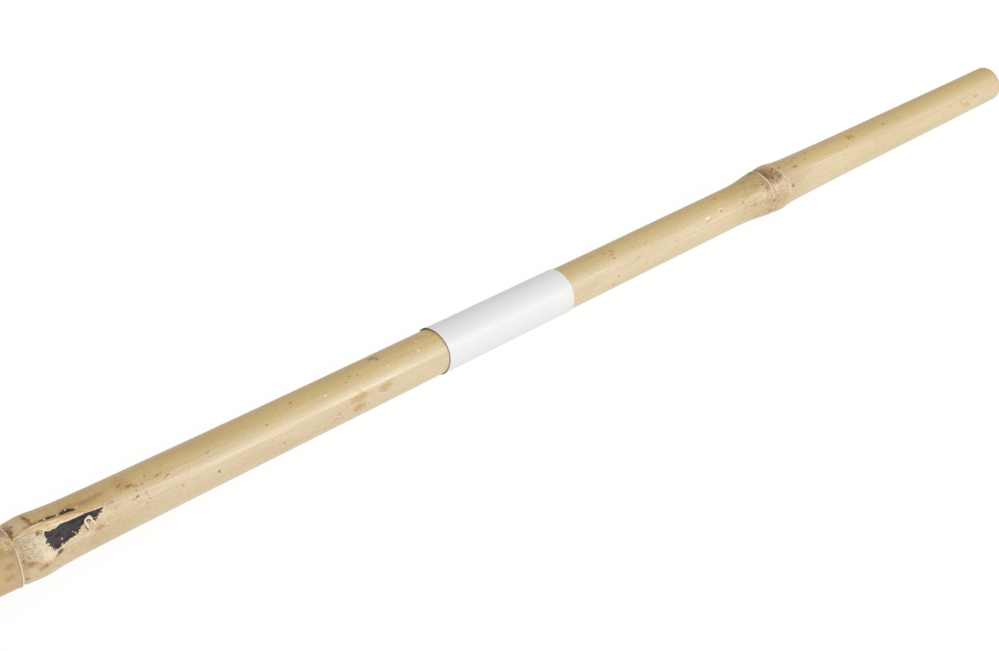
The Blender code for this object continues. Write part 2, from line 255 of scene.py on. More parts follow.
# Each kind of mark: layer, colour, strength
MARK_KINDS = {
    "bud": ("stains", (0.76, 0.68, 0.46), 0.60),
    "brown": ("stains", (0.33, 0.19, 0.075), 0.50),
    "tan": ("stains", (0.50, 0.29, 0.11), 0.90),
    "fawn": ("stains", (0.55, 0.34, 0.14), 0.85),
    "olive": ("stains", (0.34, 0.235, 0.09), 0.75),
    "amber": ("stains", (0.44, 0.22, 0.06), 0.68),
    "mauve": ("stains", (0.30, 0.17, 0.12), 0.85),
    "orange": ("specks", (0.60, 0.27, 0.09), 0.85),
    "pale": ("specks", (0.90, 0.82, 0.66), 0.70),
    "rust": ("specks", (0.36, 0.15, 0.04), 0.92),
    "umber": ("specks", (0.28, 0.145, 0.04), 0.92),
    "dot": ("specks", (0.19, 0.085, 0.02), 0.88),
    # dark: dark marks, one of them painted shade inside the curled flake's arch
    "dark": ("specks", (0.055, 0.022, 0.010), 0.98),
    "fleck": ("flecks", (0.88, 0.76, 0.62), 1.0),
}
MARK_GROWTH = 1.6
# In half sizes of a mark: how far from its middle a face still carries it, and the value of all other faces
MARK_REACH = 6.0
UNMARKED = 9.0

# Pale streaks and fine dark lines: kind, X in mm, angle, X in mm and angle of the other end, width in mm. The pale
# streaks, all at 26 to 46 degrees round the stem, are partly worn skin and partly a painted highlight along the
# band where the lamp's reflection lies.
STREAKS = rows("""
pale -199 46 -163 37 1.5, -170 36 -112 27 .9, -120 33 -34 32 1.6, line -196 44 -168 36 .16, -186 37 -150 31.5 .14,
-160 36 -118 29 .15, -128 34 -76 31 .15, -176 41 -140 36.5 .13, -90 34.5 -36 33.5 .2, -192 39 -172 34 .16,
-180 33 -156 29 .14, -166 46 -132 42 .13, pale 41 38.5 70 37.5 .45, 41 29.5 100 28.5 .6, line 41 34 64 33 .16,
52 33 92 30 .15, pale 98 29 168 26 .5, 165 52 177 51 .35, 200 46 250 42 .9, line 96 35 140 31 .12,
-240 4 -300 6 .15, pale -245 40 -330 38 .9
""")


def bell(offset, width):
    """1 at offset 0, falling smoothly to nothing a few widths away."""
    return np.exp(-0.5 * (offset / width) ** 2)


def hump(offset, width):
    """1 at offset 0 and 1/2 at the width, with longer skirts than the bell."""
    return 1 / (1 + (offset / width) ** 2)


def turn(angle, towards):
    """The signed angle from one direction to another, from -180 to 180 degrees."""
    return (angle - towards + 180) % 360 - 180


def smooth(value, low, high):
    """0 below low and 1 above high, with a smooth rise between them."""
    part = np.clip((value - low) / (high - low), 0, 1)
    return part * part * (3 - 2 * part)


def internode_radius(place, index):
    """Radius of the plain stem, which is wider just above the node below it."""
    table = np.array(INTERNODES)[index]
    return table[..., 1] + table[..., 2] * np.exp(-(place - table[..., 0]) / table[..., 3])


def stem_radius(place):
    """Radius of the stem with its flares and ridges, and without any mark that sits on one side."""
    place = np.asarray(place, float)
    index = sum((place >= node["x"]).astype(int) for node in NODES)
    radius = internode_radius(place, index)
    for number, node in enumerate(NODES):
        above = place - node["x"]
        width = np.where(above < node["ridge"], node["low"], node["high"])
        ridge = node["rise"] * hump(above - node["ridge"], width)
        at_lip = internode_radius(node["x"], number + 1) + node["rise"] * hump(node["ridge"], node["low"])
        flare = (at_lip - internode_radius(node["x"], number)) * bell(above, node["flare"])
        radius = radius + np.where(above >= 0, ridge, np.where(index == number, flare, 0))
        radius = radius - GROOVE_DEPTH * bell(above - GROOVE_AT, GROOVE_WIDTH)
    return radius


def lip_left(angle, number):
    """How much of a sheath lip is left at each angle, from 0 to 1: it is rubbed away in one place."""
    middle, spread = LIP_BREAKS[number]
    return 1 - LIP_WORN * bell(turn(angle, middle), spread)


def lip_rise(place, angle):
    """Height of the thin sheath lips, a little uneven round the stem."""
    rise = 0
    for number, node in enumerate(NODES):
        uneven = sum(size * wander(angle, seed + number, rate) for seed, rate, size in LIP_UNEVEN)
        height = LIP_RISE * (LIP_LEVEL + uneven) * lip_left(angle, number)
        rise = rise + height * bell(place - node["x"], THIN_LIP)
    return rise


def wander(angle, seed, rate):
    """Smooth uneven values round the stem, from about -0.5 to 0.5, the same after a full turn."""
    flat = np.radians(np.ravel(angle))
    reach = rate * 20
    values = [noise.noise((math.cos(a) * reach, math.sin(a) * reach, seed)) for a in flat]
    return np.array(values).reshape(np.shape(angle))


def furrow(place, angle):
    """Depth of the furrow that runs up an internode from the branch scar at its foot."""
    lips = np.array([HIDDEN_NODE] + [node["x"] for node in NODES])
    branches = np.array([NODES[1]["branch"]] + [node["branch"] for node in NODES])
    index = sum((place >= lip).astype(int) for lip in lips) - 1
    above = place - lips[index] - FURROW_START
    side = bell(turn(angle, branches[index]), FURROW_ANGLE)
    begun = 1 - bell(above, FURROW_START)
    depth = FURROW_DEPTH * side * begun * np.exp(-np.maximum(above, 0) / FURROW_FADE)
    return np.where(above > 0, depth, 0)


def side_marks(place, angle):
    """What the branch scars and the torn patch add to the radius at one angle."""
    added = -furrow(place, angle)
    for node in NODES:
        above = place - node["x"] - BOSS_AT
        added = added + BOSS_RISE * bell(above, BOSS_LENGTH) * bell(turn(angle, node["branch"]), BOSS_ANGLE)
    above = place - NODES[0]["x"] - PATCH_AT
    return added - PATCH_DEPTH * bell(above, PATCH_LENGTH) * bell(turn(angle, PATCH_ANGLE), PATCH_SPREAD)


def centre_height(place):
    """Height of the stem's middle: a straight line, lifted a little at each node."""
    ridges = [node["x"] + node["ridge"] for node in NODES]
    heights = [float(stem_radius(r)) - FLAT_DEPTH - n["lift"] for n, r in zip(NODES, ridges)]
    height = heights[0] + (place - ridges[0]) / (ridges[1] - ridges[0]) * (heights[1] - heights[0])
    for node, ridge in zip(NODES, ridges):
        height = height + node["lift"] * np.exp(-np.abs(place - ridge) / LIFT_REACH)
    return height


def lip_shift(place, angle):
    """How far the rings near a sheath lip lean along the stem at this angle, as the lip does."""
    shift = 0
    for node, courses in zip(NODES, LIP_COURSES):
        lean = node["lean"] * np.cos(np.radians(angle - node["lean_angle"]))
        for middle, spread, further in courses:
            lean = lean + further * bell(turn(angle, middle), spread)
        shift = shift + lean * bell(place - node["x"], LEAN_REACH)
    return shift


def unshifted(x, angle):
    """The place whose leaning ring passes through this X at this angle."""
    place = x
    for _ in range(12):
        place = x - float(lip_shift(place, angle))
    return place


def across(place, angle, radius):
    """Points at a radius round the stem's middle, as rows of x, y and z."""
    turned = np.radians(angle)
    y = -np.cos(turned) * radius
    z = centre_height(place) + np.sin(turned) * radius
    return np.stack(np.broadcast_arrays(place, y, z), axis=-1)


def skin_radius(place, angle):
    """Radius of the stem at one angle, with the lips and the marks that sit on one side."""
    oval = 1 + OVALNESS * np.cos(np.radians(2 * (angle - OVAL_ANGLE)))
    return (stem_radius(place) + lip_rise(place, angle)) * oval + side_marks(place, angle)


def flat_place(x, angle):
    """A spot of the stem as (place, arc) in mm, the units of the flat map."""
    return unshifted(x * MM, angle) / MM, math.radians(angle) * MAP_RADIUS / MM


def signed_distance(points, outline):
    """Distance from each point to a closed outline, in mm: more than 0 inside and less outside."""
    nearest = np.full(len(points), 1e9)
    inside = np.zeros(len(points), bool)
    x, y = points[:, 0], points[:, 1]
    for (ax, ay), (bx, by) in zip(outline, outline[1:] + outline[:1]):
        part = np.clip(((x - ax) * (bx - ax) + (y - ay) * (by - ay)) / ((bx - ax) ** 2 + (by - ay) ** 2), 0, 1)
        nearest = np.minimum(nearest, np.hypot(x - ax - part * (bx - ax), y - ay - part * (by - ay)))
        if ay != by:
            crosses = (ay > y) != (by > y)
            inside ^= crosses & (x < (bx - ax) * (y - ay) / (by - ay) + ax)
    return np.where(inside, nearest, -nearest)


def grain(points, along, round_stem, seed):
    """Noise at points of the flat map: features of these sizes in mm, from -1 to 1."""
    return np.array([noise.noise((x / along, y / round_stem, seed)) for x, y in points])


def torn_fields(places, angles):
    """How much each vertex lies in the bare wood, the crack, the sliver and the torn fibres, and the
    height that they give it."""
    place, angle = np.meshgrid(places, angles, indexing="ij")
    fields = {name: np.full(place.shape, blank) for name, blank in TORN_BLANKS.items()}
    height = np.zeros(place.shape)
    near = (place > TORN_PLACES[0]) & (place < TORN_PLACES[1])
    near &= (angle > TORN_ANGLES[0]) & (angle < TORN_ANGLES[1])
    points = np.stack([place[near] / MM, np.radians(angle[near]) * MAP_RADIUS / MM], axis=1)
    outlines = [
        [flat_place(x, turned) for x, turned in outline]
        for outline in (BARE_OUTLINE, CRACK_OUTLINE, SLIVER_OUTLINE, TORN_OUTLINE)
    ]
    teeth = 1.5 * grain(points, 14, 0.42, 3.1) + 0.8 * grain(points, 5, 0.8, 8.7)
    lower = smooth(-points[:, 1], -8.6, -7.4)
    bitten = 0.12 * grain(points, 1.6, 1.2, 5.5) + 0.9 * lower * grain(points, 0.95, 6, 2.7)
    combed = points + np.stack([teeth * lower, bitten], axis=1)
    bare = signed_distance(combed, outlines[0]) + 0.10 * grain(points, 0.9, 0.5, 1.7)
    crack = signed_distance(points + np.stack([0.5 * teeth, 0 * teeth], axis=1), outlines[1])
    crack += 0.20 * grain(points, 1.1, 0.55, 9.4)
    sliver = smooth(signed_distance(points, outlines[2]) + 0.08 * grain(points, 2, 0.6, 4.4), -0.12, 0.42)
    frayed = signed_distance(points + np.stack([1.2 * teeth, 0 * teeth], axis=1), outlines[3])
    torn = smooth(frayed + 0.5 * grain(points, 1.5, 0.9, 2.2), -0.9, 0.7) * (1 - smooth(bare, -0.1, 0.1))
    for name, values in zip(TORN_BLANKS, (bare, crack, sliver, torn)):
        fields[name][near] = np.clip(values, -FIELD_LIMIT, FIELD_LIMIT)
    rough = grain(points, 0.9, 0.35, 6.1) + 0.7 * grain(points, 0.45, 0.45, 7.9)
    added = -BARE_DEPTH * smooth(bare, -0.05, 0.22) - CRACK_DEPTH * smooth(crack, -0.05, 0.3)
    added += 0.09 * MM * bell(bare + 0.15, 0.16) + 0.035 * MM * grain(points, 3, 0.5, 1.1) * (bare > 0)
    added += SLIVER_RISE * sliver * smooth(points[:, 0], -236, -230) + TORN_ROUGH * torn * rough
    height[near] = added
    return fields, height


def cloud_fields(places, angles):
    """The soft areas, and how much of the lips is left, at each vertex."""
    place, angle = np.meshgrid(places, angles, indexing="ij")
    fields = {kind: np.zeros(place.shape) for kind in ("grime", "bleach", "tawny", "rusty")}
    for kind, x, middle, half_length, half_width, strength in CLOUDS:
        along = (place / MM - flat_place(x, middle)[0]) / half_length
        arc = np.radians(turn(angle, middle)) * MAP_RADIUS / MM / half_width
        fields[kind] = np.maximum(fields[kind], strength * np.exp(-((along ** 2 + arc ** 2) ** 1.5)))
    left = [lip_left(angle, number) for number in range(len(NODES))]
    fields["lip"] = np.where(place < 0, left[0], left[1])
    return fields


def mark_frames():
    """The marks and streaks of each layer: (place, arc, tilt, half length, half width, colour, strength)."""
    layers = {"stains": [], "specks": [], "flecks": [], "worn": [], "lines": []}
    for kind, x, angle, length, width, *tilt in MARKS:
        layer, colour, strength = MARK_KINDS[kind]
        place, arc = flat_place(x, angle)
        growth = 1.0 if layer == "flecks" else MARK_GROWTH
        half_length, half_width = growth * length / 2, growth * width / 2
        layers[layer].append((place, arc, math.radians(sum(tilt)), half_length, half_width, colour, strength))
    for kind, ax, aa, bx, ba, width in STREAKS:
        (start, low), (end, high) = sorted((flat_place(ax, aa), flat_place(bx, ba)))
        tilt = math.atan2(high - low, end - start)
        frame = ((start + end) / 2, (low + high) / 2, tilt, (end - start) / 2, width / 2, (0, 0, 0), 0)
        layers["worn" if kind == "pale" else "lines"].append(frame)
    return layers


def nearest_marks(frames, corners):
    """For each face, its corners in the axes of the mark nearest to it, where that mark's edge is at 1,
    and the mark's colour and strength. The corners are places on the flat map, in mm."""
    low, high = corners.min(axis=1), corners.max(axis=1)
    nearest = np.full(len(corners), MARK_REACH)
    local = np.full((len(corners), 4, 3), UNMARKED)
    paint = np.zeros((len(corners), 4, 4))
    for place, arc, tilt, half_length, half_width, colour, strength in frames:
        cos, sin = math.cos(tilt), math.sin(tilt)

        def inward(points):
            x, y = points[..., 0] - place, points[..., 1] - arc
            return np.stack([(x * cos + y * sin) / half_length, (y * cos - x * sin) / half_width], axis=-1)

        reach = np.linalg.norm(inward(np.clip((place, arc), low, high)), axis=-1)
        reach = np.minimum(reach, np.linalg.norm(inward(corners), axis=-1).min(axis=1))
        closer = reach < nearest
        nearest[closer] = reach[closer]
        local[closer, :, :2] = inward(corners[closer])
        local[closer, :, 2] = 0
        paint[closer] = (*colour, strength)
    return local, paint


def ring_places():
    """Places of the rings along the dressed stem: close together at the nodes and the torn place."""
    stretches = [TORN_STRETCH] + [(low * MM, high * MM, MARKED_STEP) for low, high in MARKED_STRETCHES]
    for node in NODES:
        stretches.append((node["x"] - LIP_STRETCH[0], node["x"] + LIP_STRETCH[0], LIP_STRETCH[1]))
        stretches.append((node["x"] - NODE_STRETCH[0], node["x"] + NODE_STRETCH[0], NODE_STRETCH[1]))
    place = BASE_END + END_CHAMFER
    places = [place]
    while place < TIP_END - END_CHAMFER:
        step = PLAIN_STEP
        for low, high, fine in stretches:
            if low <= place < high:
                step = min(step, fine)
            elif place < low < place + step:
                step = min(step, max(low - place, fine))
        place += step
        places.append(min(place, TIP_END - END_CHAMFER))
    if places[-1] - places[-2] < LEAST_STEP:
        places.pop(-2)
    return np.array(places)


# The rings of a sawn end: over the partition, round the bore's inner edge, along the bore, and over the wall
PARTITION_SHARES = (0.02, 0.45, 0.8)
PARTITION_SUNK = 0.3 * MM
ROUND_DEGREES = (85, 60, 30, 0)
BORE_SHARES = (0.1, 0.25, 0.5, 0.75, 0.9, 0.97)
BORE_RIBS = 0.012
WALL_SHARES = (0, 0.04, 0.2, 0.4, 0.6, 0.8, 0.96)
MOUTH_SUNK = 0.35 * MM
SAW_MARKS = 0.05 * MM
SKIN_SLOT, WALL_SLOT, BORE_SLOT = range(3)


def end_rings(mouth, stop, bore, angles):
    """Rings from the middle of a bore's inner end out to the rim of the sawn end, and each strip's slot."""
    outward = 1 if mouth > stop else -1
    saw = wander(angles, 3 * outward, 0.5)
    ribs = 1 + BORE_RIBS * wander(angles, 40 + outward, 1.1)
    rings = []
    for share in PARTITION_SHARES:
        place = stop - outward * PARTITION_SUNK * (1 - share)
        rings.append(across(place, angles, share * (bore - BORE_END_ROUND)))
    for degrees in ROUND_DEGREES:
        lean = math.radians(degrees)
        place = stop + outward * BORE_END_ROUND * (1 - math.sin(lean))
        rings.append(across(place, angles, (bore - BORE_END_ROUND * (1 - math.cos(lean))) * ribs))
    for share in BORE_SHARES:
        place = stop + outward * BORE_END_ROUND + share * (mouth - stop - outward * BORE_END_ROUND)
        rings.append(across(place, angles, bore * ribs))
    slots = [BORE_SLOT] * len(rings)
    rim = skin_radius(mouth - outward * END_CHAMFER, angles) - END_CHAMFER
    for share in WALL_SHARES:
        radius = bore * ribs + share * (rim - bore * ribs)
        sunk = MOUTH_SUNK if share == 0 else SAW_MARKS * (0.5 + saw)
        rings.append(across(mouth - outward * sunk, angles, radius))
    rings.append(across(mouth, angles, rim))
    return rings, slots + [WALL_SLOT] * (len(WALL_SHARES) + 1)


def cane_mesh():
    """The whole stem as one lofted skin, from the base bore's inner end to the tip bore's."""
    angles = SEAM_ANGLE + 360 * np.arange(SIDES) / SIDES
    places = ring_places()
    fields, height = torn_fields(places, angles)
    fields.update(cloud_fields(places, angles))
    place, angle = np.meshgrid(places, angles, indexing="ij")
    around = [(math.cos(a), math.sin(a)) for a in np.radians(angles)]
    waves = np.array([noise.noise((p * WAVES_ALONG, *spot_at)) for p in places for spot_at in around])
    waves = waves.reshape(place.shape) * smooth(np.abs(place), TIP_END, TIP_END - WAVE_FADE) * WAVE_HEIGHT
    radius = skin_radius(place, angle) + height + waves
    skin = across(place, angle, radius)
    skin[..., 0] += lip_shift(place, angle)
    skin[..., 2] = np.maximum(skin[..., 2], 0)
    base, base_slots = end_rings(BASE_END, BASE_BORE_STOP, BASE_BORE_RADIUS, angles)
    tip, tip_slots = end_rings(TIP_END, TIP_BORE_STOP, TIP_BORE_RADIUS, angles)
    rings = np.concatenate([np.array(base), skin, np.array(tip[::-1])])
    cut = CUT_BACK * bell(turn(angles, CUT_ANGLE), CUT_SPREAD)
    rings[..., 0] -= cut * smooth(rings[..., 0], TIP_END - CUT_REACH, TIP_END)
    slots = base_slots + [SKIN_SLOT] * (len(places) - 1) + tip_slots[::-1]
    slots[len(base_slots) - 1] = SKIN_SLOT
    return rings, slots, len(base), places, fields


def tube_faces(start, size, rings):
    """Faces of a closed tube: its side, ring after ring from the vertex start on, and then its two caps."""
    last = start + (rings - 1) * size
    faces = []
    for low in range(start, last, size):
        for corner in range(size):
            after = (corner + 1) % size
            faces.append((low + corner, low + size + corner, low + size + after, low + after))
    return faces + [tuple(range(start, start + size)), tuple(range(last, last + size))[::-1]]


def flipped(faces):
    return [face[:1] + face[:0:-1] for face in faces]


def make_cane(materials):
    """The stem, with its flat map, and the fields and marks that its material reads."""
    rings, slots, first, places, fields = cane_mesh()
    count = len(rings)
    quads = (count - 1) * SIDES
    faces = tube_faces(0, SIDES, count)
    piece = new_piece("bamboo_cane", rings.reshape(-1, 3).tolist(), faces, materials, 50)
    mesh = piece.data
    strip_slots = np.repeat(np.array(slots[: count - 1]), SIDES).tolist() + [BORE_SLOT] * 2
    mesh.polygons.foreach_set("material_index", strip_slots)
    map_rows = rings[:, 0, 0].copy()
    map_rows[first: first + len(places)] = places
    u = (map_rows - BASE_END) / MAP_SPAN
    v = np.radians(SEAM_ANGLE + 360 * np.arange(SIDES + 1) / SIDES) * MAP_RADIUS / MAP_SPAN
    row, side = np.meshgrid(np.arange(count - 1), np.arange(SIDES), indexing="ij")
    ends = [(row, side), (row + 1, side), (row + 1, side + 1), (row, side + 1)]
    spots = np.stack([np.stack([u[r], v[s]], axis=-1) for r, s in ends], axis=2).reshape(-1)
    flat_map = mesh.uv_layers.new(name="stem")
    caps = np.zeros(4 * SIDES)
    flat_map.data.foreach_set("uv", np.concatenate([spots, caps]).astype(np.float32))
    for name, values in fields.items():
        whole = np.full((count, SIDES), TORN_BLANKS.get(name, 0.0))
        whole[first: first + len(places)] = values
        mesh.attributes.new(name, "FLOAT", "POINT").data.foreach_set("value", whole.ravel().astype(np.float32))
    skin_faces = np.zeros(quads, bool)
    skin_faces[first * SIDES: (first + len(places) - 1) * SIDES] = True
    corners = spots.reshape(-1, 4, 2)[skin_faces] * MAP_SPAN / MM + (BASE_END / MM, 0)
    for layer, frames in mark_frames().items():
        local, paint = nearest_marks(frames, corners)
        kept = [(layer, "FLOAT_VECTOR", "vector", local, UNMARKED)]
        if layer in ("stains", "specks"):
            kept.append((layer + "_colour", "FLOAT_COLOR", "color", paint, 0.0))
        for name, kind, key, values, elsewhere in kept:
            whole = np.full((4 * quads + 2 * SIDES, values.shape[-1]), elsewhere, np.float32)
            whole[: 4 * quads][np.repeat(skin_faces, 4)] = values.reshape(-1, values.shape[-1])
            mesh.attributes.new(name, kind, "CORNER").data.foreach_set(key, whole.ravel())
    mesh.update()
    return piece


def add(name, data):
    made = bpy.data.objects.new(name, data)
    bpy.context.scene.collection.objects.link(made)
    return made


def new_piece(name, verts, faces, materials, sharp_angle=None):
    """A smooth visible piece on the part's only body, with sharp edges from this many degrees on."""
    mesh = bpy.data.meshes.new(name)
    mesh.from_pydata(verts, [], faces)
    for material in materials:
        mesh.materials.append(material)
    mesh.shade_smooth()
    if sharp_angle is not None:
        mesh.set_sharp_from_angle(angle=math.radians(sharp_angle))
    piece = add(name, mesh)
    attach(piece, BODY)
    return piece


def spot(x, angle, lift=0.0):
    """A point on the dressed skin at X in mm and an angle, lifted off it by this many mm."""
    place = np.array(unshifted(x * MM, angle))
    turned = np.array(float(angle))
    point = across(place, turned, skin_radius(place, turned) + lift * MM)
    point[0] = x * MM
    return Vector(point)


# Loose fibre ends: the torn place's lower edge and the single roots at its base, as X in mm and angle
FRAYED_EDGE = rows("""
-201.6 46, -203 41, -204.4 36, -206.6 39, -209.2 37, -211 31.5, -213.2 25, -215.4 22, -217.6 21, -219.4 18.6,
-221.4 15, -223.6 17.5, -224.8 26
""")
LONE_ROOTS = rows("-225.4 40, -225.2 33, -225.6 45, -224.6 21")
LOOSE_ROOTS = 16
SPLINTER_SEED = 11
SPLINTER_RINGS = 5
SPLINTER_SUNK = 0.08
SPLINTER_RIDGE = 0.06
SPLINTER_TAPER = 0.92


def make_splinters(material):
    """Loose fibre ends round the torn place: thin three-sided spikes that leave the skin at one end."""
    chance = random.Random(SPLINTER_SEED)
    roots = []
    for (ax, aa), (bx, ba) in zip(FRAYED_EDGE, FRAYED_EDGE[1:]):
        for share in (0.1, 0.45, 0.8):
            x = ax + (bx - ax) * share + chance.uniform(-0.3, 0.3)
            roots.append((x + 0.5, aa + (ba - aa) * share, -1, chance.uniform(0.7, 2.0)))
    for _ in range(LOOSE_ROOTS):
        x, angle = chance.uniform(-233, -226), chance.uniform(8, 36)
        roots.append((x, angle, chance.choice((-1, 1)), chance.uniform(0.8, 2.2)))
    for x, angle in LONE_ROOTS:
        roots.append((x - 0.5, angle, 1, chance.uniform(0.9, 1.8)))
    verts = []
    faces = []
    for x, angle, towards, length in roots:
        wide = chance.uniform(1.0, 1.9)
        bend = chance.uniform(-3.0, 3.0)
        rise = chance.uniform(0.05, 0.28)
        start = len(verts)
        for step in range(SPLINTER_RINGS):
            share = step / (SPLINTER_RINGS - 1)
            here = x + towards * length * share
            middle = angle + bend * share * share
            half = wide * (1 - SPLINTER_TAPER * share) / 2
            lift = 0.02 + rise * share ** 1.5
            ridge = SPLINTER_RIDGE * (1 - 0.7 * share)
            for turned, high in ((-half, -SPLINTER_SUNK), (0, ridge), (half, -SPLINTER_SUNK)):
                verts.append(spot(here, middle + turned, lift + high))
        spike = tube_faces(start, 3, SPLINTER_RINGS)
        faces += spike if towards > 0 else flipped(spike)
    return new_piece("splinters", verts, faces, [material])


# The curl of skin over the torn place's lower edge, point by point: X in mm, angle, lift in mm, width in mm.
# The section has its width across and its thickness outward.
FLAKE_PATH = rows("""
-208.7 25 -.1 .8, -208.9 29 .08 .9, -209.1 33.4 .22 1, -209.2 37.5 .34 .9, -208.9 41 .42 .8, -208 43.2 .46 .8,
-207 43.2 .48 1.4, -206.6 40 .4 1, -206.6 36 .28 .9, -206.3 31.5 .12 1, -205.8 26.5 -.1 .9
""")
FLAKE_THICKNESS = 0.22
FLAKE_STEPS = 4
FLAKE_SECTION = rows("-.5 0, -.3 .8, 0 1, .3 .8, .5 0, .25 -.4, -.25 -.4")


def make_flake(material):
    """A thin curled strip of skin, both of whose ends are still grown to the stem."""
    knots = np.array(FLAKE_PATH)
    share = np.arange(len(knots))
    finer = np.linspace(0, len(knots) - 1, (len(knots) - 1) * FLAKE_STEPS + 1)
    path = np.stack([np.interp(finer, share, column) for column in knots.T], axis=1)
    path[1:-1] = (path[:-2] + 2 * path[1:-1] + path[2:]) / 4
    centres = [spot(x, angle, lift) for x, angle, lift, _ in path]
    verts = []
    for index, (x, angle, _, width) in enumerate(path):
        ahead = centres[min(index + 1, len(path) - 1)] - centres[max(index - 1, 0)]
        turned = math.radians(angle)
        outward = Vector((0, -math.cos(turned), math.sin(turned)))
        side = ahead.cross(outward).normalized()
        for wide, high in FLAKE_SECTION:
            verts.append(centres[index] + side * wide * width * MM + outward * high * FLAKE_THICKNESS * MM)
    faces = flipped(tube_faces(0, len(FLAKE_SECTION), len(path)))
    return new_piece("skin_flake", verts, faces, [material], 60)


# The paper: it starts a little early and ends short of the solid's, in waves, and is loose at its start
LABEL_RINGS = 60
LABEL_SIDES = 260
PAPER = 0.13 * MM
PAPER_CLEAR = 0.26 * MM
LABEL_EARLY = 0.6 * MM
LABEL_SHORT = 1.25 * MM
LABEL_WAVE = 0.55 * MM
LABEL_WAVE_ANGLE = 30
LABEL_END_WAVE = 0.3
LABEL_LOOSE = 0.45 * MM
LOOSE_REACH = 3.2 * MM
LOOSE_ANGLE = 100
LOOSE_SPREAD = 44
OVERLAP_TURNS = (352, 360)
GLUE = 0.04 * MM
BUCKLES_ROUND = 1.6
BUCKLES_ALONG = 34


def label_surface(inner):
    """Points of the wrapped paper's outer or inner side: rings along it, each from its inner end at the
    seam once round to its outer end."""
    share = np.linspace(0, 1, LABEL_RINGS)[:, None]
    turned = np.linspace(0, 360 + SEAM_END - SEAM_START, LABEL_SIDES + 1)[None, :]
    angle = SEAM_START + turned
    wave = LABEL_WAVE * np.cos(np.radians(2 * (angle - LABEL_WAVE_ANGLE)))
    start = LABEL_LOW.x - LABEL_EARLY + wave
    end = LABEL_HIGH.x - LABEL_SHORT + LABEL_END_WAVE * wave
    place = start + (end - start) * share
    over = smooth(turned, *OVERLAP_TURNS) * (PAPER + GLUE)
    loose = LABEL_LOOSE * np.exp(-(place - start) / LOOSE_REACH) * bell(turn(angle, LOOSE_ANGLE), LOOSE_SPREAD)
    y, z = BUCKLES_ROUND * np.cos(np.radians(angle)), BUCKLES_ROUND * np.sin(np.radians(angle))
    spots = zip(*(np.ravel(values) for values in np.broadcast_arrays(place * BUCKLES_ALONG, y, z)))
    buckle = np.array([noise.noise(spot_at) for spot_at in spots]).reshape(place.shape)
    gap = PAPER_CLEAR * (0.9 + 0.25 * buckle) + over + loose + (0 if inner else PAPER)
    return across(place, angle, stem_radius(place) * (1 + OVALNESS) + gap).reshape(-1, 3).tolist()


def make_label(material):
    """One sheet of paper wound round the stem, its outer end glued down over its inner end."""
    verts = label_surface(inner=False) + label_surface(inner=True)
    width = LABEL_SIDES + 1
    size = LABEL_RINGS * width
    faces = []
    for ring in range(LABEL_RINGS - 1):
        for side in range(LABEL_SIDES):
            a = ring * width + side
            quad = (a, a + width, a + width + 1, a + 1)
            faces.append(quad)
            faces.append(tuple(size + i for i in quad[::-1]))
    last = (LABEL_RINGS - 1) * width
    for side in range(LABEL_SIDES):
        faces.append((side, side + 1, size + side + 1, size + side))
        faces.append((last + side + 1, last + side, size + last + side, size + last + side + 1))
    for ring in range(LABEL_RINGS - 1):
        a = ring * width
        faces.append((a + width, a, size + a, size + a + width))
        a += LABEL_SIDES
        faces.append((a, a + width, size + a + width, size + a))
    return new_piece("paper_label", verts, faces, [material], 50)


